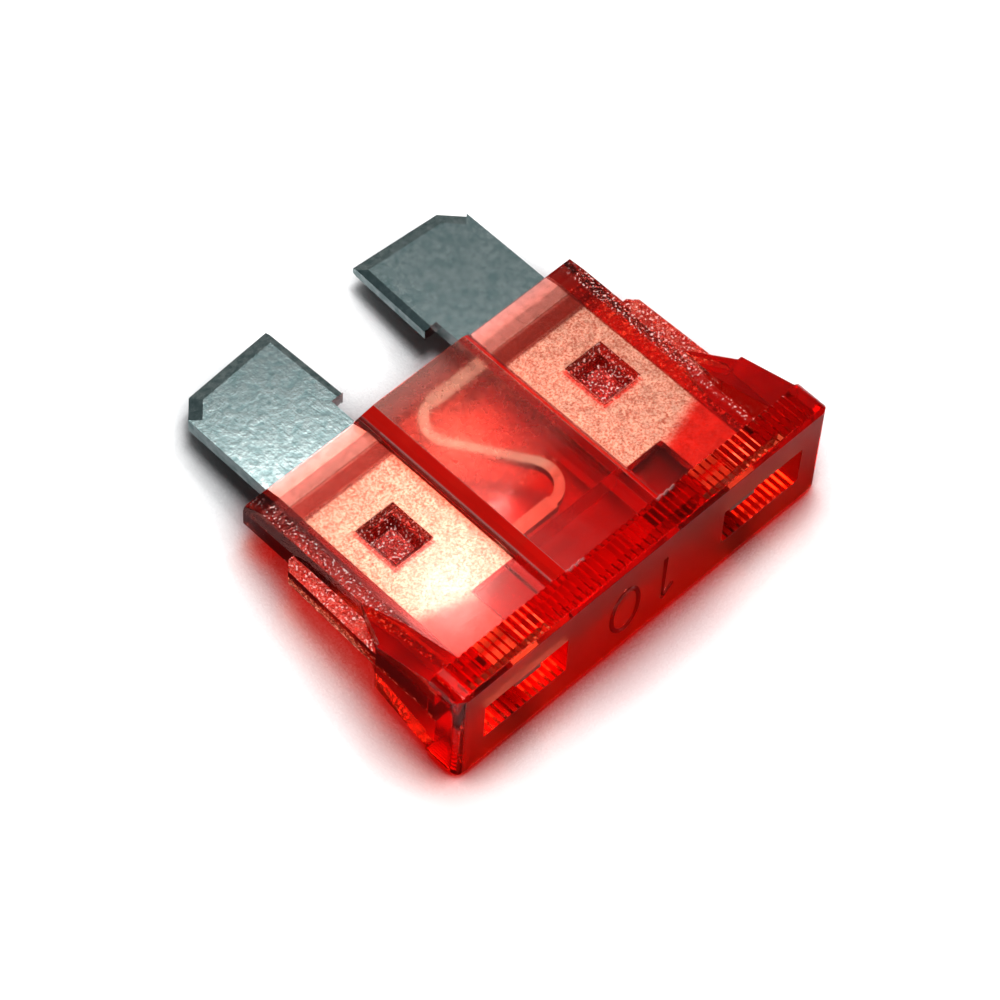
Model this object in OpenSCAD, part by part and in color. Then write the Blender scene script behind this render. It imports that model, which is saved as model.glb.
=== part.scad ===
// Standard-size blade fuse, lying on its broad face: a see-through moulded housing
// around one stamped metal element. Millimetres. X is across the blades, Y points along
// them from the head to the tips, Z is up. The origin is under the middle of the fuse.
// Inside the modules Y is counted from the head's end face and Z from the mid-plane.

/* [Overall] */
// Length from the head's end face to the blade tips
overall_l = 18.1; // [17.6:0.1:19]
// Width of the head
head_w = 19.3; // [19.1:0.1:20]
// Thickness of the head
head_t = 5.1; // [4.6:0.1:5.6]
// Length of the head plate along the blades
head_l = 1.6; // [1.2:0.1:2]
// Radius of the head's long corners
head_corner_r = 0.4; // [0.2:0.05:0.6]
// Radius of the corners between the head's end face and its narrow sides
head_end_r = 0.5; // [0.2:0.05:0.8]
// Chamfer along the long edges of the head's end face
head_chamfer = 0.15; // [0.1:0.05:0.3]

/* [Grip ribs] */
// Distance from rib to rib
rib_pitch = 0.325; // [0.25:0.025:0.8]
// Depth of the valleys between the ribs
rib_depth = 0.13; // [0.05:0.01:0.2]
// How far the ribs' crests lie below the plain lip and margins
rib_drop = 0.03; // [0.01:0.01:0.1]
// Plain lip between the end face and the ribs
rib_lip = 0.2; // [0.15:0.05:0.5]
// Plain margin at each side of the ribs
rib_margin = 0.55; // [0.4:0.05:1]

/* [Body] */
// Distance from the head's end face to the blade end of the body
body_end = 12.5; // [12.2:0.1:13]
// Width of the body at the floor of the pockets
body_w = 16.8; // [16.4:0.1:17.2]
// How far each side of the body slants out from there to the rails
side_run = 0.2; // [0.1:0.05:0.3]
// Thickness of the body at the floor of the pockets
body_t = 1.7; // [1.6:0.05:2]
// Length of the bevel at the blade end
exit_bevel_l = 0.75; // [0.3:0.05:1]
// Depth of the bevel at the blade end
exit_bevel_t = 0.25; // [0.1:0.05:0.3]

/* [Raised panel] */
// Thickness across both raised panels
panel_t = 3.2; // [2.8:0.1:3.6]
// Width of the flat top of the panel
panel_w = 4.7; // [4.2:0.1:5]
// Bevel along the panel's long edges
panel_bevel = 0.25; // [0.1:0.05:0.3]
// Sideways run of the panel's slanted walls
panel_wall_run = 0.4; // [0.2:0.05:0.6]
// How far the panel's top stops short of the blade end
panel_setback = 0.4; // [0.2:0.05:0.6]

/* [Side rails and cheeks] */
// Width across the rails at their blade end
rail_w = 18.4; // [18:0.1:18.6]
// Width across the rails next to the cheeks
rail_root_w = 18.7; // [18.6:0.1:18.8]
// Thickness of the rails
rail_t = 0.8; // [0.5:0.05:1.2]
// Distance from the end face to the blade end of the rails
rail_end = 9.75; // [8.5:0.05:11]
// Corner cut at the blade end of the rails
rail_cut = 0.35; // [0.1:0.05:0.4]
// Width across both cheeks
cheeks_w = 19.1; // [18.9:0.1:19.2]
// Distance from the end face to the far end of the cheeks
cheek_end = 4.4; // [3.6:0.1:5]
// Width of each cheek
cheek_w = 1.45; // [1.2:0.05:1.6]
// Thickness of the cheeks where they leave the head plate
cheek_root_t = 4.5; // [4:0.1:4.6]
// Thickness of the cheeks at their far end
cheek_end_t = 2.7; // [2.2:0.1:3.2]
// Length of the ramp from a cheek down to the pocket floor
cheek_ramp = 2; // [1:0.1:3]

/* [Test windows] */
// Width of each window
window_w = 4.2; // [3.6:0.1:4.4]
// Height of each window
window_h = 2; // [1.4:0.1:2.4]
// Distance of each window's middle from the centre line
window_x = 6.2; // [6:0.05:6.4]
// Depth of each window
window_depth = 0.9; // [0.7:0.05:1.2]

/* [Chamber and slot] */
// Width of the chamber round the link
chamber_w = 5; // [4.4:0.1:5.2]
// Height of the chamber round the link
chamber_t = 2.1; // [1.6:0.1:2.4]
// Distance from the end face to the start of the chamber
chamber_start = 4; // [3.8:0.1:4.2]
// Gap between the element and the slot, on every side
slot_gap = 0.05; // [0.03:0.01:0.1]
// Height of the slot's mouth
mouth_t = 0.95; // [0.85:0.05:1.05]
// Length of the straight part of the mouth
mouth_l = 1.25; // [0.6:0.05:1.6]
// Length of the slope from the mouth to the slot
mouth_slope = 0.65; // [0.3:0.05:0.8]

/* [Stakes] */
// Distance of each stake from the centre line
stake_x = 5.45; // [5.2:0.05:5.6]
// Distance of each stake from the head's end face
stake_y = 7.7; // [7:0.1:8.4]
// Width of the pit at the pocket floor
pit_w = 1.95; // [1.6:0.05:2.2]
// Length of the pit at the pocket floor
pit_l = 2.2; // [1.8:0.05:2.4]
// Width of the pit at its bottom
pit_floor_w = 1.05; // [0.8:0.05:1.2]
// Length of the pit at its bottom
pit_floor_l = 1.3; // [1:0.05:1.5]
// Thickness of plastic left between the two pits of a stake
stake_web = 0.24; // [0.16:0.02:0.4]
// Width of the stake hole in the metal
stake_hole_w = 1.75; // [1.7:0.05:1.9]
// Length of the stake hole in the metal
stake_hole_l = 2; // [1.95:0.05:2.1]

/* [Metal element] */
// Thickness of the metal strip
strip_t = 0.65; // [0.5:0.05:0.8]
// Width over both blades
blades_w = 14.6; // [14.2:0.1:14.8]
// Clear width between the blades at the notches
blade_gap = 4.3; // [4.2:0.05:4.6]
// How much the gap widens on each side toward the tips
blade_taper = 0.14; // [0:0.02:0.3]
// How much shorter each blade is at its outer edge
tip_slant = 0.35; // [0:0.05:0.5]
// Corner cut at the outer edge of each tip
tip_cut = 0.8; // [0.4:0.1:1.4]
// Clear width between the blades at the necks and inside the housing
neck_gap = 5.5; // [5.3:0.05:5.8]
// Distance from the end face to the step between neck and blade
notch_y = 13.95; // [13.4:0.05:14.4]
// Length of the coined bevel at the tips
tip_bevel_l = 0.55; // [0.3:0.05:0.8]
// Depth of the coined bevel at the tips
tip_bevel_t = 0.2; // [0.1:0.02:0.24]
// Length of the coined bevel along the inner edges
edge_bevel_l = 0.3; // [0.15:0.05:0.45]
// Depth of the coined bevel along the inner edges
edge_bevel_t = 0.12; // [0.06:0.02:0.2]

/* [Test tabs and link] */
// Distance from the end face to the shoulder beside each tab
shoulder_y = 4.15; // [4.05:0.05:4.4]
// Clear width between the two tabs
tab_gap = 10; // [9.6:0.1:10.2]
// Width of each tab at its end
tab_tip_w = 1.3; // [1:0.1:1.6]
// Length of the narrow end of each tab
tab_tip_l = 1.5; // [1:0.1:1.8]
// Distance from the end face to the end of each tab
tab_end = 0.45; // [0.3:0.05:0.6]
// Width of the link where it leaves the metal on either side
link_root_w = 0.6; // [0.5:0.05:0.8]
// Width of the link in its bends
link_w = 0.42; // [0.3:0.02:0.6]
// Width of the link's slanting middle, which melts first
link_middle_w = 0.38; // [0.26:0.02:0.5]
// Thickness of the link
link_t = 0.35; // [0.2:0.05:0.5]
// Radius of the link's two bends at the middle of its width
link_bend_r = 1.12; // [0.9:0.02:1.3]
// Distance from the end face to the middle of the link
link_y = 8.15; // [7.9:0.05:8.4]
// Distance between the centres of the two bends
link_span = 4.1; // [3.6:0.1:4.4]

/* [Hidden] */
$fn = 64;
cut = 0.5;
link_lap = 0.1;
body_half = body_t / 2;
root_y = head_l / 2;
panel_half = panel_t / 2;
slot_t = strip_t + 2 * slot_gap;
blade_out = blades_w / 2;
neck_in = neck_gap / 2;
notch_in = blade_gap / 2;
tip_in = notch_in + blade_taper;
tab_in = tab_gap / 2;
tip_out_y = overall_l - tip_slant;
tip_angle = atan2(-tip_slant, blade_out - tip_in);
rib_count = floor((head_w - 2 * rib_margin) / rib_pitch);
rib_start = -rib_count * rib_pitch / 2;
bend_tilt = asin(2 * link_bend_r / link_span);

// Moves a piece from the head's end face and mid-plane to its place on the ground
module lying() {
    translate([0, -overall_l / 2, head_t / 2]) children();
}

// Copies for the left and right halves, and for the upper and lower faces
module both_sides() {
    children();
    mirror([1, 0, 0]) children();
}

module both_faces() {
    children();
    mirror([0, 0, 1]) children();
}

// Extrudes a section drawn across X and Z along Y, between two distances from the end face
module along_y(from, to) {
    translate([0, to, 0]) rotate([90, 0, 0]) linear_extrude(to - from) children();
}

// Extrudes a section drawn across Y and Z along X, between two distances from the centre line
module along_x(from, to) {
    translate([from, 0, 0]) rotate([90, 0, 90]) linear_extrude(to - from) children();
}

// Extrudes a plan evenly about the mid-plane
module plate(t) {
    translate([0, 0, -t / 2]) linear_extrude(t) children();
}

module rounded_rect(w, h, r) {
    square([w - 2 * r, h], center = true);
    square([w, h - 2 * r], center = true);
    for (x = [-1, 1], y = [-1, 1])
        translate([x * (w / 2 - r), y * (h / 2 - r)]) circle(r);
}

// Section of the ribbed part of the head: the plain section less a valley between each pair of ribs
module ribbed_section() {
    top = head_t / 2;
    crest = top - rib_drop;
    difference() {
        rounded_rect(head_w, head_t, head_corner_r);
        for (face = [-1, 1])
            polygon(concat(
                [[-rib_start, face * (top + cut)], [rib_start, face * (top + cut)]],
                [for (i = [0 : rib_count - 1], side = [0, 0.5])
                    [rib_start + (i + side) * rib_pitch, face * (crest - 2 * side * rib_depth)]],
                [[-rib_start, face * crest]]
            ));
    }
}

// Plan of the head plate, rounded at the corners of its end face
module head_plan() {
    half = head_w / 2;
    translate([-half, head_end_r]) square([head_w, head_l - head_end_r]);
    translate([head_end_r - half, 0]) square([head_w - 2 * head_end_r, head_l]);
    both_sides()
        translate([half - head_end_r, head_end_r]) circle(head_end_r);
}

// Side view of the head plate, with the long edges of its end face chamfered
module head_profile() {
    half = head_t / 2;
    face = half - head_chamfer;
    polygon([
        [0, -face], [head_chamfer, -half], [head_l, -half],
        [head_l, half], [head_chamfer, half], [0, face]
    ]);
}

module head_plate() {
    intersection() {
        union() {
            along_y(0, rib_lip) rounded_rect(head_w, head_t, head_corner_r);
            along_y(rib_lip, head_l) ribbed_section();
        }
        plate(head_t) head_plan();
        along_x(-head_w / 2, head_w / 2) head_profile();
    }
}

// Flat body: its blade end is bevelled on both faces, and its sides slant out to the rails
module body_slab() {
    flat_end = body_end - exit_bevel_l;
    edge = body_half - exit_bevel_t;
    floor_x = body_w / 2;
    side_x = floor_x + side_run;
    side_z = rail_t / 2;
    intersection() {
        along_x(-side_x, side_x)
            polygon([
                [root_y, -body_half], [flat_end, -body_half], [body_end, -edge],
                [body_end, edge], [flat_end, body_half], [root_y, body_half]
            ]);
        along_y(root_y, body_end)
            polygon([
                [-floor_x, -body_half], [floor_x, -body_half], [side_x, -side_z], [side_x, side_z],
                [floor_x, body_half], [-floor_x, body_half], [-side_x, side_z], [-side_x, -side_z]
            ]);
    }
}

// Rails along both narrow sides, widening to the cheeks
module rails() {
    plate(rail_t)
        both_sides()
            polygon([
                [0, root_y], [rail_root_w / 2, root_y], [rail_root_w / 2, cheek_end],
                [rail_w / 2, rail_end - rail_cut], [rail_w / 2 - rail_cut, rail_end], [0, rail_end]
            ]);
}

// Cheeks that slope from the head plate toward the blades, each with a gusset down to the pocket floor
module cheeks() {
    root = cheek_root_t / 2;
    end = cheek_end_t / 2;
    out = cheeks_w / 2;
    ramp_end = cheek_end + cheek_ramp;
    both_sides() {
        along_x(out - cheek_w, out)
            polygon([
                [root_y, -root], [head_l, -root], [cheek_end, -end],
                [cheek_end, end], [head_l, root], [root_y, root]
            ]);
        intersection() {
            along_x(out - cheek_w, out)
                polygon([
                    [root_y, -end], [cheek_end, -end], [ramp_end, -body_half],
                    [ramp_end, body_half], [cheek_end, end], [root_y, end]
                ]);
            plate(head_t)
                polygon([
                    [out - cheek_w, root_y], [rail_root_w / 2, root_y], [rail_root_w / 2, cheek_end],
                    [body_w / 2, ramp_end], [out - cheek_w, cheek_end]
                ]);
        }
    }
}

// Raised panels over the link, on both faces, with slanted walls and a slanted blade end
module panels() {
    top = panel_w / 2;
    bevel = top + panel_bevel;
    foot = bevel + panel_wall_run;
    both_faces()
        intersection() {
            along_y(root_y, body_end)
                polygon([
                    [-foot, 0], [foot, 0], [foot, body_half], [bevel, panel_half - panel_bevel],
                    [top, panel_half], [-top, panel_half], [-bevel, panel_half - panel_bevel],
                    [-foot, body_half]
                ]);
            along_x(-foot, foot)
                polygon([
                    [root_y, 0], [body_end, 0], [body_end, body_half - exit_bevel_t],
                    [body_end - panel_setback, panel_half], [root_y, panel_half]
                ]);
        }
}

// Plan of the slot: the outline of the metal inside the housing, less the stakes
module slot_plan() {
    difference() {
        union() {
            translate([-blade_out - slot_gap, shoulder_y - slot_gap])
                square([2 * (blade_out + slot_gap), body_end - shoulder_y + cut]);
            both_sides() {
                translate([tab_in - slot_gap, tab_end + tab_tip_l - slot_gap])
                    square([blade_out - tab_in + 2 * slot_gap, shoulder_y - tab_end - tab_tip_l + 2 * slot_gap]);
                translate([tab_in - slot_gap, tab_end - slot_gap])
                    square([tab_tip_w + 2 * slot_gap, tab_tip_l + 2 * slot_gap]);
            }
        }
        both_sides()
            translate([stake_x, stake_y])
                square([stake_hole_w - 2 * slot_gap, stake_hole_l - 2 * slot_gap], center = true);
    }
}

// Mouth of the slot at the blade end, sloping in to the slot
module slot_mouth() {
    straight = body_end - mouth_l;
    inner = straight - mouth_slope;
    along_x(-blade_out - slot_gap, blade_out + slot_gap)
        polygon([
            [inner, -slot_t / 2], [straight, -mouth_t / 2], [body_end + cut, -mouth_t / 2],
            [body_end + cut, mouth_t / 2], [straight, mouth_t / 2], [inner, slot_t / 2]
        ]);
}

module chamber() {
    along_y(chamber_start, body_end + cut)
        square([chamber_w, chamber_t], center = true);
}

module windows() {
    both_sides()
        along_y(-cut, window_depth)
            translate([window_x, 0]) square([window_w, window_h], center = true);
}

// Pits that the staking punches leave in the pocket floors, narrowing as they go down
module stake_pits() {
    floor_z = stake_web / 2;
    depth = body_half - floor_z;
    slope_w = (pit_w - pit_floor_w) / 2 / depth;
    slope_l = (pit_l - pit_floor_l) / 2 / depth;
    top_w = pit_w / 2 + cut * slope_w;
    top_l = pit_l / 2 + cut * slope_l;
    both_sides()
        both_faces()
            translate([stake_x, stake_y, 0])
                intersection() {
                    along_y(-pit_l, pit_l)
                        polygon([
                            [-pit_floor_w / 2, floor_z], [pit_floor_w / 2, floor_z],
                            [top_w, body_half + cut], [-top_w, body_half + cut]
                        ]);
                    along_x(-pit_w, pit_w)
                        polygon([
                            [-pit_floor_l / 2, floor_z], [pit_floor_l / 2, floor_z],
                            [top_l, body_half + cut], [-top_l, body_half + cut]
                        ]);
                }
}

module housing() {
    color([0.78, 0.05, 0.06, 0.8])
        lying()
            difference() {
                union() {
                    head_plate();
                    body_slab();
                    rails();
                    cheeks();
                    panels();
                }
                plate(slot_t) slot_plan();
                slot_mouth();
                chamber();
                windows();
                stake_pits();
            }
}

// Plan of one half of the metal: test tab, body, neck and blade
module half_plan() {
    cut_y = tip_out_y + tip_cut * tan(-tip_angle);
    difference() {
        polygon([
            [tab_in, tab_end], [tab_in + tab_tip_w, tab_end], [tab_in + tab_tip_w, tab_end + tab_tip_l],
            [blade_out, tab_end + tab_tip_l], [blade_out, tip_out_y - tip_cut],
            [blade_out - tip_cut, cut_y], [tip_in, overall_l], [notch_in, notch_y],
            [neck_in, notch_y], [neck_in, shoulder_y], [tab_in, shoulder_y]
        ]);
        translate([stake_x, stake_y]) square([stake_hole_w, stake_hole_l], center = true);
    }
}

// Wedges that coin an edge on both faces; the edge runs from a point in a direction, metal on its left
module coined_edge(start, direction, length, run, depth) {
    half = strip_t / 2;
    rise = depth / run * cut;
    both_faces()
        translate([start[0], start[1], 0]) rotate([0, 0, direction])
            along_x(0, length)
                polygon([
                    [-cut, half - depth - rise], [run + cut, half + rise], [-cut, half + rise]
                ]);
}

// Wedges round one blade: tip, outer corner and inner edge
module blade_coining() {
    cut_y = tip_out_y + tip_cut * tan(-tip_angle);
    corner = [blade_out, tip_out_y - tip_cut];
    corner_angle = atan2(cut_y - corner[1], -tip_cut);
    taper_angle = atan2(overall_l - notch_y, tip_in - notch_in);
    tip_reach = blade_out - tip_in + 2 * cut;
    coined_edge([blade_out + cut, tip_out_y + cut * tan(tip_angle)], 180 + tip_angle, tip_reach,
        tip_bevel_l, tip_bevel_t);
    coined_edge(corner, corner_angle, 2 * tip_cut, tip_bevel_l, tip_bevel_t);
    coined_edge([tip_in + cut / tan(taper_angle), overall_l + cut], 180 + taper_angle,
        overall_l - notch_y + cut, edge_bevel_l, edge_bevel_t);
}

// Half of the link: a root from the right-hand metal, a bend, and half of the slanting middle
module half_link_plan() {
    root_mid = link_span / 2 + link_bend_r;
    inner = link_bend_r - link_w / 2;
    outer = link_bend_r + link_w / 2;
    far = 4 * outer;
    half_middle = link_span / 2 * cos(bend_tilt);
    translate([-link_lap, root_mid - link_root_w / 2])
        square([neck_in + cut + link_lap, link_root_w]);
    translate([0, link_span / 2])
        difference() {
            circle(outer);
            circle(inner);
            polygon([
                [0, 0], [0, far], [far, far], [far, -far],
                [-far * cos(bend_tilt), -far * sin(bend_tilt)]
            ]);
        }
    rotate(bend_tilt)
        translate([-link_middle_w / 2, -link_lap])
            square([link_middle_w, half_middle + 2 * link_lap]);
}

module link() {
    plate(link_t)
        translate([0, link_y]) {
            half_link_plan();
            rotate(180) half_link_plan();
        }
}

module fuse_element() {
    color([0.66, 0.69, 0.7])
        lying() {
            both_sides()
                difference() {
                    plate(strip_t) half_plan();
                    blade_coining();
                }
            link();
        }
}

housing();
fuse_element();
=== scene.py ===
"""Looks of a see-through red blade fuse that lies on a pale floor."""
import math

import bpy
from mathutils import Matrix, Vector


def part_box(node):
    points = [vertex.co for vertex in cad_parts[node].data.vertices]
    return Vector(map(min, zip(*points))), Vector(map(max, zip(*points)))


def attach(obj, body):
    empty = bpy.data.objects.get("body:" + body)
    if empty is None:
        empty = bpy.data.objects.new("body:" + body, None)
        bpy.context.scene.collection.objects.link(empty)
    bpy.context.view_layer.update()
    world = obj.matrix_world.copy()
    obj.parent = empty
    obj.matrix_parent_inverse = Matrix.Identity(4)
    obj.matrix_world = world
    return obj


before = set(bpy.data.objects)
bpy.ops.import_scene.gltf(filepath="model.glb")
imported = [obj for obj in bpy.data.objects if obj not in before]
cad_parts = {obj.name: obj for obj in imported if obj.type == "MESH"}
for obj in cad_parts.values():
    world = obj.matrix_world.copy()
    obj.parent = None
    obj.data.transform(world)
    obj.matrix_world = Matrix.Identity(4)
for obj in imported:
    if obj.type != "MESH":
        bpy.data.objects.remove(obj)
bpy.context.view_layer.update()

MM = 0.001

# Places on the fuse, from the frame
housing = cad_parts["housing"]
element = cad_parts["fuse_element"]
housing_low, housing_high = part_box("housing")
mid_z = (housing_low.z + housing_high.z) / 2
end_face_y = housing_low.y
body_end_y = housing_high.y

# Levels of the moulding's flat faces, measured from its mid-plane
pocket_level = 0.85 * MM
panel_level = 1.6 * MM
rail_level = 0.4 * MM

# Lengths along the fuse, measured from the head's end face
head_plate_l = 1.6 * MM
window_depth = 0.9 * MM
pocket_end_y = 2.35 * MM
pocket_end_slant = 0.3
stake_y = 7.7 * MM
mouth_y = 10.85 * MM
exit_y = 11.3 * MM
behind_head_span = (0.9 * head_plate_l, head_plate_l)
below_ribs_span = (1.2 * head_plate_l, head_plate_l)
panel_near_span = (6.2 * MM, 5.2 * MM)
panel_frost_span = (5.4 * MM, 7 * MM)
panel_far_span = (8 * MM, 10.5 * MM)

# Places across the fuse, measured from its centre line
panel_half_w = 2.35 * MM
stake_x = 5.45 * MM
outer_strip_x = 7.75 * MM
rail_x = 8.5 * MM

# Half sizes of small features
pit_half_w = 1.0 * MM
pit_half_l = 1.12 * MM
mouth_half = 0.33 * MM
panel_wall_half = 0.4 * MM
pocket_end_half = 0.4 * MM

# Softness of the borders between one surface and the next
hair = 0.02 * MM
narrow = 0.05 * MM
wide = 0.1 * MM

# How squarely a face looks one way: where it begins to count, and where it counts in full
flat_facing = (0.93, 0.98)
head_facing = (-0.9, -0.97)
wall_facing = (0.5, 0.7)
rim_facing = (0.98, 0.9)

# Raised number on the end face
number_height = 2.5 * MM
number_stroke = 0.24 * MM
zero_x = -1.15 * MM
zero_half_w = 0.7 * MM
one_x = 0.9 * MM
one_flag = 0.5 * MM
oval_points = 36

# Soft edges
housing_edge = 0.05 * MM
element_edge = 0.08 * MM
weld_gap = 0.001 * MM
edge_angle = math.radians(25)

# Plastic: what its body takes from light, and how its faces mirror
plastic_ior = 1.56
plastic_mirror = (1.0, 0.2, 0.17, 1)
plastic_body = (0.97, 0.3, 0.03, 1)
plastic_density = 1050.0
plastic_shadow = (0.97, 0.9, 0.88, 1)
# How much light passes where painted glow and glints make the plastic partly matte
painted_light_transmission = 0.4

# Plastic: roughness by place, and a faint unevenness all over
gloss_rough = 0.07
sparked_rough = 0.14
frost_rough = 0.24
end_face_rough = 0.55
speckle_size = 0.35 * MM
speckle_rough = 0.06

# Plastic: spark grain on the pocket floors, glitter on rails, outer strips and pits, and slow waves
grain_size = 0.08 * MM
grain_bump = 0.05
grain_depth = 0.04 * MM
dot_span = (0.46, 0.6)
frost_dots = 0.5
glitter_size = 0.14 * MM
glitter_bump = 0.6
glitter_depth = 0.1 * MM
# Painted glints: size of the pale specks, and the span of noise that they take
painted_glint_size = 0.11 * MM
painted_glint_span = (0.6, 0.66)
wave_size = 1.6 * MM
wave_bump = 0.12
wave_depth = 0.05 * MM

# Plastic: colour of clear faces and of grain dots, then tints by place in the order they are laid. Most
# tints are painted shade, glow, sheen and glints, as marked
clear_colour = (1.0, 0.94, 0.9, 1)
dot_colour = (0.55, 0.12, 0.07, 1)
dot_share = 0.8
plastic_tints = {
    # Painted shade: a dark red band over the slot's mouth
    "mouth": (0.95, (0.14, 0.008, 0.004, 1)),
    # Painted shade: the bevel that the blades leave by is darkened
    "exit_bevel": (0.9, (0.55, 0.3, 0.3, 1)),
    # Painted shade: the pocket floors turn deep red at their ends by the head
    "pocket_end": (0.95, (0.8, 0.02, 0.01, 1)),
    # Painted shade: the panel's top is darkened
    "panel_top": (0.9, (0.45, 0.3, 0.28, 1)),
    # Painted shade: the panel's near end is deep red
    "panel_near": (0.9, (0.8, 0.02, 0.01, 1)),
    # Painted sheen: the panel's far end is greyed
    "panel_far": (0.8, (0.5, 0.5, 0.48, 1)),
    # Painted glow: the panel's side walls are deep red and partly matte, so that the lamps light them red
    "panel_wall": (1.0, (0.9, 0.008, 0.004, 1)),
    # Painted shade: the pits are deep red
    "pit": (0.95, (0.9, 0.02, 0.015, 1)),
    # Painted shade: the end face is darkened
    "end_face": (1.0, (0.42, 0.13, 0.13, 1)),
    "raised": (1.0, (0.25, 0.04, 0.04, 1)),
    # Painted shade: the backs of the end-face windows are deep red
    "window_back": (0.95, (0.6, 0.005, 0.003, 1)),
    # Painted glints: pale specks on the rails, outer strips and pits
    "painted_glints": (1.0, (1.0, 0.8, 0.75, 1)),
}

# Zinc: dark and light of its spangle, then tints by place in the order they are laid
zinc_dark = (0.27, 0.4, 0.4, 1)
zinc_light = (0.65, 0.77, 0.76, 1)
zinc_tints = {
    # Painted shade: metal inside the housing is darkened
    "covered": (0.5, (0.3, 0.3, 0.29, 1)),
    # Painted shade: the link is darkened
    "link": (0.4, (0.12, 0.1, 0.1, 1)),
    # Painted shade: the link's sideways rims are darker still
    "rim": (0.9, (0.1, 0.03, 0.02, 1)),
    # Painted light: the tabs are near white below the grip ribs, so that they glow through the ribs
    "below_ribs": (1.0, (0.95, 0.9, 0.88, 1)),
    "in_window": (1.0, (0.3, 0.5, 0.48, 1)),
}

# Zinc: sizes and depths of its marks, and its roughness
spangle_size = 0.2 * MM
cloud_size = 0.4 * MM
cloud_span = (0.35, 0.65)
cloud_share = 0.5
fine_size = 0.16 * MM
rolled_size = 0.07 * MM
rolled_stretch = (1.0, 0.12, 1.0)
zinc_depth = 0.02 * MM
cloud_bump = 0.05
rolled_bump = 0.06
fine_bump = 0.1
dark_rough = 0.17
light_rough = 0.12
covered_rough = 0.38

# Camera: where it looks, from how far, and how it is turned
camera_target = Vector((-0.53, -2.0, 1.45)) * MM
camera_distance = 154 * MM
camera_azimuth = math.radians(-47.94)
camera_elevation = math.radians(55.4)
camera_roll = math.radians(4.16)
camera_lens = 147.6
camera_sensor = 36

# Floor: it leans as the fuse rests, on the head's inner edge and the panel's end
floor_lean = math.radians(5.17)
floor_side = 1.6
floor_white = (0.9, 0.9, 0.9, 1)
floor_glow = 0.42

# Floor's painted shadow near the fuse: how far it reaches, and its colours
shadow_reach = 4 * MM
mirrored_shadow_reach = 14 * MM
shadow_full = 0.5
mirrored_shadow_full = 0.92
shadow_gone = 0.99
shadow_samples = 8
blades_shade = (0.3, 0.3, 0.31, 1)
blades_shade_span = (-1 * MM, 2 * MM)
housing_shade = (0.26, 0.015, 0.015, 1)
# Painted red light on the floor below the head, seen through the plastic, brighter towards the left
shade_below_head_left = (0.75, 0.016, 0.012, 1)
shade_below_head_right = (0.24, 0.006, 0.005, 1)
shade_below_body = (0.28, 0.007, 0.005, 1)

# Room light: colours at the horizon and overhead, and how high each reaches
horizon_colour = (0.17, 0.175, 0.175, 1)
top_colour = (0.06, 0.075, 0.08, 1)
room_span = (0.25, 0.85)

# Key lamp: it mirrors to the camera at a spot beside the fuse, and the edge of the mirrored disc
# crosses the left blade
key_spot = Vector((-17.6, -10.2, 2.9)) * MM
key_distance = 0.15
key_side = 0.06
key_power = 0.024

# Glints: spots on the left pocket's metal and on the panel's left edge that mirror two small lamps
pocket_glint = Vector((-5.8, -4.55, 2.9)) * MM
pocket_glint_side = 0.002
pocket_glint_power = 0.0016
panel_glint = Vector((-2.15, -3.2, 4.15)) * MM
panel_glint_side = 0.001
panel_glint_power = 0.00015
glint_distance = 0.03

# Overhead softbox, and a dim card that the blades mirror
centre = Vector()
overhead_direction = (0.12, 0.02, 0.99)
overhead_distance = 0.5
overhead_side = 0.2
overhead_power = 2.0
card_distance = 0.3
card_side = 0.14
card_power = 0.008


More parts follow.
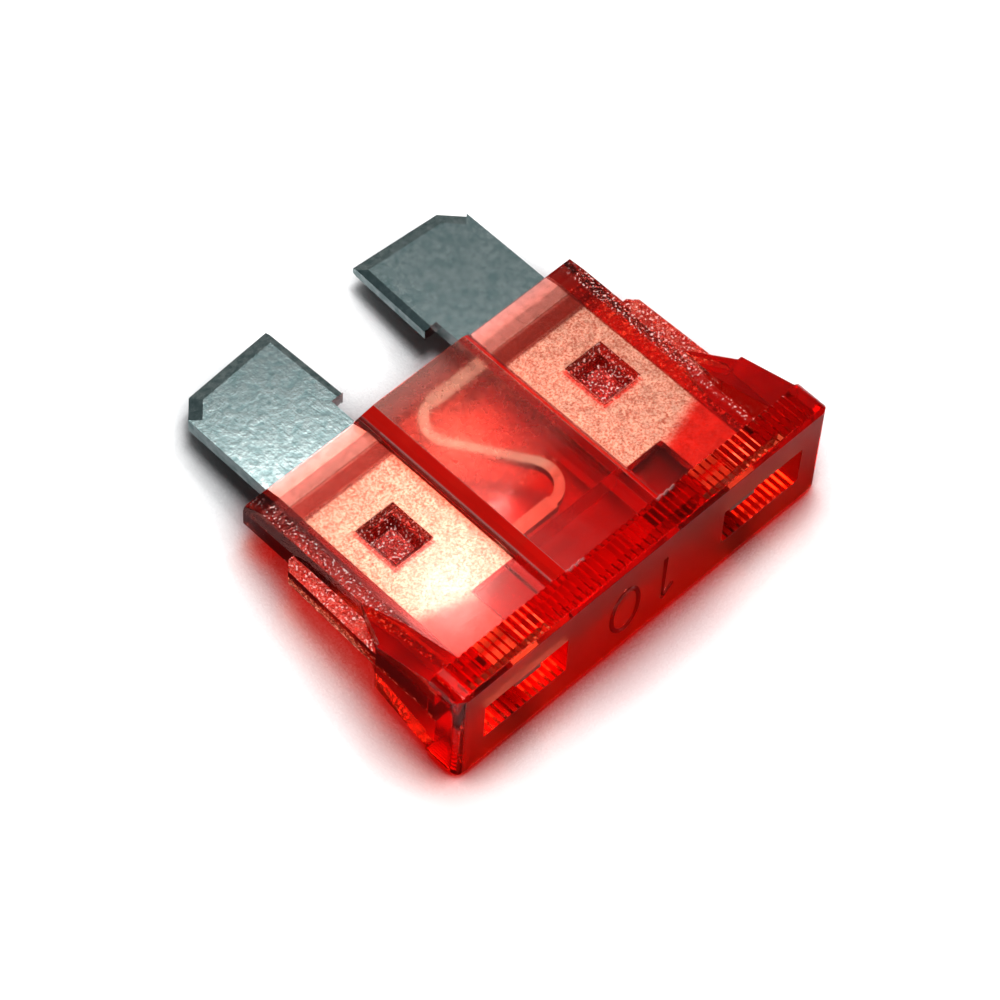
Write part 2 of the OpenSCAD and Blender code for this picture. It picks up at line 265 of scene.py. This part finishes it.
class Graph:
    """A shader's node tree, with short calls that add nodes and link them."""

    def __init__(self, tree):
        self.tree = tree
        self.tree.nodes.clear()

    def add(self, kind, inputs=None, **settings):
        """Add a node. An input's value is a number, a colour or another node's output."""
        node = self.tree.nodes.new("ShaderNode" + kind)
        for name, value in settings.items():
            setattr(node, name, value)
        for key, value in (inputs or {}).items():
            self.feed(node.inputs[key], value)
        return node

    def feed(self, socket, value):
        if isinstance(value, bpy.types.NodeSocket):
            self.tree.links.new(value, socket)
        else:
            socket.default_value = value

    def math(self, operation, first, second=0.0, third=0.0):
        inputs = {0: first, 1: second, 2: third}
        return self.add("Math", inputs, operation=operation).outputs[0]

    def size_of(self, value):
        return self.math("ABSOLUTE", value)

    def ramp(self, value, low, high):
        """A smooth step from 0 at low to 1 at high."""
        inputs = {"Value": value, "From Min": low, "From Max": high}
        return self.add("MapRange", inputs, interpolation_type="SMOOTHSTEP").outputs["Result"]

    def band(self, value, middle, half, soft):
        """1 within half of the middle, falling to 0 over soft."""
        away = self.size_of(self.math("SUBTRACT", value, middle))
        return self.ramp(away, half + soft, half)

    def both(self, first, *others):
        for other in others:
            first = self.math("MULTIPLY", first, other)
        return first

    def either(self, first, *others):
        for other in others:
            first = self.math("MAXIMUM", first, other)
        return first

    def mix(self, share, first, second):
        inputs = {"Factor": share, 6: first, 7: second}
        return self.add("Mix", inputs, data_type="RGBA").outputs[2]

    def mix_numbers(self, share, first, second):
        inputs = {"Factor": share, 2: first, 3: second}
        return self.add("Mix", inputs, data_type="FLOAT").outputs[0]

    def lay(self, colour, masks, tints):
        """Lay each tint over the colour, where its mask is and by its share."""
        for name, (share, tint) in tints.items():
            colour = self.mix(self.both(masks[name], share), colour, tint)
        return colour

    def noise(self, place, size, detail):
        """Noise from 0 to 1 whose blotches are about size across."""
        inputs = {"Vector": place, "Scale": 1 / size, "Detail": detail}
        return self.add("TexNoise", inputs).outputs["Fac"]

    def bump(self, height, strength, depth, normal=None):
        inputs = {"Height": height, "Strength": strength, "Distance": depth}
        if normal is not None:
            inputs["Normal"] = normal
        return self.add("Bump", inputs).outputs["Normal"]

    def split(self, vector):
        return self.add("SeparateXYZ", {0: vector}).outputs

    def place(self):
        return self.add("TexCoord").outputs["Object"]

    def geometry(self, name):
        return self.add("NewGeometry").outputs[name]


def new_material(name):
    material = bpy.data.materials.new(name)
    material.use_nodes = True
    return material, Graph(material.node_tree)


def plastic_masks(graph, place):
    """Where each surface of the moulding lies: 1 on it, 0 elsewhere."""
    axes = graph.split(place)
    facing = graph.split(graph.geometry("Normal"))
    across = graph.size_of(axes["X"])
    along = graph.math("SUBTRACT", axes["Y"], end_face_y)
    level = graph.size_of(graph.math("SUBTRACT", axes["Z"], mid_z))

    flat = graph.ramp(graph.size_of(facing["Z"]), *flat_facing)
    to_head = graph.ramp(facing["Y"], *head_facing)
    low = graph.ramp(level, pocket_level + 3 * hair, pocket_level + hair)
    behind_head = graph.ramp(along, *behind_head_span)
    beside_panel = graph.ramp(across, panel_half_w, panel_half_w + 2 * wide)
    slanted = graph.math("SUBTRACT", along, graph.both(across, pocket_end_slant))

    # Pocket floors, with their outer strips, the ends by the head, and the pits pressed into them
    sparked = graph.both(flat, low, behind_head, beside_panel)
    outer_strip = graph.both(sparked, graph.ramp(across, outer_strip_x, outer_strip_x + wide))
    pocket_end = graph.both(
        graph.ramp(slanted, pocket_end_y + pocket_end_half, pocket_end_y - pocket_end_half),
        sparked,
    )
    pit = graph.both(
        graph.band(across, stake_x, pit_half_w, narrow),
        graph.band(along, stake_y, pit_half_l, narrow),
        graph.ramp(level, pocket_level - 0.5 * hair, pocket_level - 2 * hair),
    )

    # Blade end: the band over the slot's mouth, and the bevel that the blades leave by
    mouth = graph.both(graph.band(along, mouth_y, mouth_half, wide), beside_panel, low)
    exit_bevel = graph.both(graph.ramp(along, exit_y - wide, exit_y), beside_panel)

    # Raised panel: its top in three stretches, and its side walls
    panel_top = graph.both(flat, graph.ramp(level, panel_level - wide, panel_level), behind_head)
    panel_wall = graph.both(
        graph.ramp(graph.size_of(facing["X"]), *wall_facing),
        graph.band(across, panel_half_w, panel_wall_half, wide),
        behind_head,
    )

    rail_top = graph.both(
        flat,
        graph.band(level, rail_level, 3 * hair, hair),
        graph.ramp(across, rail_x, rail_x + narrow),
        behind_head,
    )
    glittery = graph.either(pit, outer_strip, rail_top)

    return {
        "sparked": sparked,
        "pocket_end": pocket_end,
        "pit": pit,
        "mouth": mouth,
        "exit_bevel": exit_bevel,
        "panel_top": panel_top,
        "panel_near": graph.both(panel_top, graph.ramp(along, *panel_near_span)),
        "panel_far": graph.both(panel_top, graph.ramp(along, *panel_far_span)),
        "frosted": graph.both(panel_top, graph.ramp(along, *panel_frost_span)),
        "panel_wall": panel_wall,
        "glittery": glittery,
        # Painted glints: pale specks scattered over the glittery faces
        "painted_glints": graph.both(graph.ramp(graph.noise(place, painted_glint_size, detail=1), *painted_glint_span), glittery),
        "end_face": graph.both(to_head, graph.band(along, 0.0, hair, hair)),
        "window_back": graph.both(to_head, graph.band(along, window_depth, narrow, hair)),
        "raised": graph.ramp(along, -hair, -narrow),
    }


def red_plastic():
    """See-through red moulding: glossy, with sparked pocket floors and a frosted panel and end face."""
    material, graph = new_material("red_plastic")
    place = graph.place()
    masks = plastic_masks(graph, place)

    grain = graph.noise(place, grain_size, detail=4)
    normal = graph.bump(graph.noise(place, wave_size, detail=2), wave_bump, wave_depth)
    normal = graph.bump(grain, graph.both(masks["sparked"], grain_bump), grain_depth, normal)
    glitter = graph.noise(place, glitter_size, detail=2)
    normal = graph.bump(glitter, graph.both(masks["glittery"], glitter_bump), glitter_depth, normal)

    grainy = graph.either(masks["sparked"], masks["mouth"], graph.both(masks["frosted"], frost_dots))
    dots = graph.both(graph.ramp(grain, *dot_span), grainy)
    colour = graph.mix(graph.both(dots, dot_share), clear_colour, dot_colour)
    # Painted shade, glow, sheen and glints, laid by place
    colour = graph.lay(colour, masks, plastic_tints)

    roughness = graph.mix_numbers(masks["sparked"], gloss_rough, sparked_rough)
    roughness = graph.mix_numbers(masks["frosted"], roughness, frost_rough)
    roughness = graph.mix_numbers(masks["end_face"], roughness, end_face_rough)
    speckle = graph.noise(place, speckle_size, detail=3)
    roughness = graph.math("ADD", roughness, graph.both(speckle, speckle_rough))

    # Where the panel walls' painted glow and the painted glints lie, the plastic is partly matte, so that
    # the lamps light these colours
    painted_light_matte = graph.either(masks["panel_wall"], masks["painted_glints"])
    plastic = graph.add("BsdfPrincipled", {
        "Base Color": colour,
        "Roughness": roughness,
        "Normal": normal,
        "IOR": plastic_ior,
        "Specular Tint": plastic_mirror,
        "Transmission Weight": graph.mix_numbers(painted_light_matte, 1.0, painted_light_transmission),
    })

    # Light passes the surface straight on its way to a lamp, so that the inside isn't black
    passing = graph.add("BsdfTransparent", {"Color": plastic_shadow})
    shadow = graph.add("LightPath").outputs["Is Shadow Ray"]
    surface = graph.add("MixShader", {0: shadow, 1: plastic.outputs[0], 2: passing.outputs[0]})
    tint = graph.add("VolumeAbsorption", {"Color": plastic_body, "Density": plastic_density})
    output = graph.add("OutputMaterial", {"Surface": surface.outputs[0]})
    graph.feed(output.inputs["Volume"], tint.outputs[0])
    return material


def zinc():
    """Bare zinc strip: grey with a faint green cast, mottled, with a fine rolled grain."""
    material, graph = new_material("zinc")
    place = graph.place()
    axes = graph.split(place)
    across = graph.size_of(axes["X"])
    along = axes["Y"]
    from_end = graph.math("SUBTRACT", along, end_face_y)
    upright = graph.size_of(graph.split(graph.geometry("Normal"))["Z"])

    cells = graph.add("TexVoronoi", {"Vector": place, "Scale": 1 / spangle_size}).outputs["Color"]
    spangle = graph.split(cells)["X"]
    cloud = graph.ramp(graph.noise(place, cloud_size, detail=6), *cloud_span)
    mottle = graph.mix_numbers(cloud_share, spangle, cloud)

    stretched = graph.add("Mapping", {"Vector": place, "Scale": rolled_stretch}).outputs[0]
    rolled = graph.noise(stretched, rolled_size, detail=2)
    fine = graph.noise(place, fine_size, detail=3)
    normal = graph.bump(cloud, cloud_bump, zinc_depth)
    normal = graph.bump(rolled, rolled_bump, zinc_depth, normal)
    normal = graph.bump(fine, fine_bump, zinc_depth, normal)

    # Metal inside the housing is dull and has painted shade. The link has more painted shade, darker still
    # along its rims, and the tabs have painted light below the grip ribs and are grey where they stand in
    # the windows
    covered = graph.ramp(along, body_end_y + hair, body_end_y - hair)
    link = graph.both(graph.ramp(across, panel_half_w, panel_half_w - wide), covered)
    masks = {
        "covered": covered,
        "link": link,
        "rim": graph.both(link, graph.ramp(upright, *rim_facing)),
        "below_ribs": graph.ramp(from_end, *below_ribs_span),
        "in_window": graph.ramp(from_end, window_depth + hair, window_depth - hair),
    }
    colour = graph.lay(graph.mix(mottle, zinc_dark, zinc_light), masks, zinc_tints)
    bare_rough = graph.mix_numbers(mottle, dark_rough, light_rough)

    metal = graph.add("BsdfPrincipled", {
        "Base Color": colour,
        "Metallic": 1.0,
        "Roughness": graph.mix_numbers(covered, bare_rough, covered_rough),
        "Normal": normal,
    })
    graph.add("OutputMaterial", {"Surface": metal.outputs[0]})
    return material


def pale_floor():
    """White floor: it shows white where no shadow falls on it, and has a painted red shadow near the fuse.
    """
    material, graph = new_material("pale_floor")
    ray = graph.add("LightPath").outputs
    camera_ray = ray["Is Camera Ray"]
    seen = graph.either(camera_ray, ray["Is Glossy Ray"], ray["Is Transmission Ray"])

    # The shade reaches further in what the fuse itself mirrors or lets through
    reach = graph.mix_numbers(camera_ray, mirrored_shadow_reach, shadow_reach)
    # Painted shadow: the floor turns to the shade colour where the fuse blocks its view of the room
    open_share = graph.add("AmbientOcclusion", {"Distance": reach}, samples=shadow_samples).outputs["AO"]
    full = graph.mix_numbers(camera_ray, mirrored_shadow_full, shadow_full)
    clear = graph.ramp(open_share, full, shadow_gone)

    axes = graph.split(graph.geometry("Position"))
    blades_from, blades_to = blades_shade_span
    by_blades = graph.ramp(axes["Y"], body_end_y + blades_from, body_end_y + blades_to)
    by_body = graph.ramp(axes["Y"], end_face_y + head_plate_l, end_face_y + 2 * head_plate_l)
    by_right = graph.ramp(axes["X"], housing_low.x, housing_high.x)
    # Painted red light below the head, brighter towards its left
    by_head = graph.mix(by_right, shade_below_head_left, shade_below_head_right)
    below = graph.mix(by_body, by_head, shade_below_body)
    by_housing = graph.mix(ray["Is Transmission Ray"], housing_shade, below)
    shade = graph.mix(by_blades, by_housing, blades_shade)

    diffuse = graph.add("BsdfDiffuse", {"Color": graph.mix(clear, shade, floor_white)})
    strength = graph.both(seen, clear, floor_glow)
    glow = graph.add("Emission", {"Color": (1, 1, 1, 1), "Strength": strength})
    surface = graph.add("AddShader", {0: diffuse.outputs[0], 1: glow.outputs[0]})
    graph.add("OutputMaterial", {"Surface": surface.outputs[0]})
    return material


def rating_number(material):
    """A plain raised 10 on the end face, with its top towards the floor."""
    curve = bpy.data.curves.new("rating_number", "CURVE")
    curve.dimensions = "3D"
    curve.bevel_depth = number_stroke / 2
    curve.bevel_resolution = 2
    curve.use_fill_caps = True
    turns = [2 * math.pi * i / oval_points for i in range(oval_points)]
    half = number_height / 2
    oval = [(zero_x + zero_half_w * math.cos(turn), half * math.sin(turn)) for turn in turns]
    bar = [(one_x, half), (one_x, -half), (one_x + one_flag, one_flag - half)]
    for points, closed in ((oval, True), (bar, False)):
        line = curve.splines.new("POLY")
        line.points.add(len(points) - 1)
        line.use_cyclic_u = closed
        for point, (x, z) in zip(line.points, points):
            point.co = (x, end_face_y, mid_z + z, 1)
    number = bpy.data.objects.new("rating_number", curve)
    number.data.materials.append(material)
    bpy.context.collection.objects.link(number)
    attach(number, "root")


def dress(node, material, edge_width):
    """Give a CAD node its material and take the sharpness off its edges."""
    node.data.materials.clear()
    node.data.materials.append(material)
    weld = node.modifiers.new("weld", "WELD")
    weld.merge_threshold = weld_gap
    bevel = node.modifiers.new("soft_edges", "BEVEL")
    bevel.width = edge_width
    bevel.segments = 2
    bevel.limit_method = "ANGLE"
    bevel.angle_limit = edge_angle
    bevel.harden_normals = False


def add_floor():
    bpy.ops.mesh.primitive_plane_add(size=floor_side)
    floor = bpy.context.object
    floor.name = "floor"
    floor.rotation_euler.x = floor_lean
    contact = Vector((0, end_face_y + head_plate_l, 0))
    lean = Matrix.Rotation(floor_lean, 3, "X")
    floor.location = contact - lean @ Vector((0, contact.y, 0))
    floor.data.materials.append(pale_floor())


def camera_axes():
    """The camera's view, right and up directions."""
    view = Vector((
        -math.sin(camera_azimuth) * math.cos(camera_elevation),
        math.cos(camera_azimuth) * math.cos(camera_elevation),
        -math.sin(camera_elevation),
    ))
    level_right = view.cross(Vector((0, 0, 1))).normalized()
    level_up = level_right.cross(view)
    right = level_right * math.cos(camera_roll) + level_up * math.sin(camera_roll)
    return view, right, right.cross(view)


def add_camera():
    view, right, up = camera_axes()
    data = bpy.data.cameras.new("camera")
    data.lens = camera_lens
    data.sensor_width = camera_sensor
    data.clip_start = 1 * MM
    camera = bpy.data.objects.new("camera", data)
    turn = Matrix((right, up, -view)).transposed()
    camera.matrix_world = Matrix.Translation(camera_target - view * camera_distance) @ turn.to_4x4()
    bpy.context.collection.objects.link(camera)
    bpy.context.scene.camera = camera


def add_softbox(name, target, direction, distance, side, power):
    """A round lamp that faces a target from a direction."""
    data = bpy.data.lights.new(name, "AREA")
    data.shape = "DISK"
    data.size = side
    data.energy = power
    lamp = bpy.data.objects.new(name, data)
    toward = Vector(direction).normalized()
    lamp.location = target + toward * distance
    lamp.rotation_euler = toward.to_track_quat("Z", "Y").to_euler()
    bpy.context.collection.objects.link(lamp)


def mirror_direction(spot):
    """Where a flat face at the spot shows the camera a reflection from."""
    view = camera_axes()[0]
    ray = (spot - (camera_target - view * camera_distance)).normalized()
    return Vector((ray.x, ray.y, -ray.z))


def add_mirrored_softbox(name, spot, distance, side, power):
    """A round lamp that a flat face at the spot mirrors to the camera."""
    add_softbox(name, spot, mirror_direction(spot), distance, side, power)


def add_world():
    """Soft room light, a little brighter towards the horizon."""
    world = bpy.data.worlds.new("room")
    bpy.context.scene.world = world
    world.use_nodes = True
    graph = Graph(world.node_tree)
    rise = graph.split(graph.add("TexCoord").outputs["Generated"])["Z"]
    colour = graph.mix(graph.ramp(rise, *room_span), horizon_colour, top_colour)
    background = graph.add("Background", {"Color": colour, "Strength": 1.0})
    graph.add("OutputWorld", {"Surface": background.outputs[0]})


plastic = red_plastic()
dress(housing, plastic, housing_edge)
rating_number(plastic)
dress(element, zinc(), element_edge)
add_floor()
add_camera()
add_world()
add_mirrored_softbox("key", key_spot, key_distance, key_side, key_power)
add_mirrored_softbox("pocket_glint", pocket_glint, glint_distance, pocket_glint_side, pocket_glint_power)
add_mirrored_softbox("panel_glint", panel_glint, glint_distance, panel_glint_side, panel_glint_power)
add_softbox("overhead", centre, overhead_direction, overhead_distance, overhead_side, overhead_power)
add_mirrored_softbox("blade_card", centre, card_distance, card_side, card_power)

scene = bpy.context.scene
scene.view_settings.view_transform = "Standard"
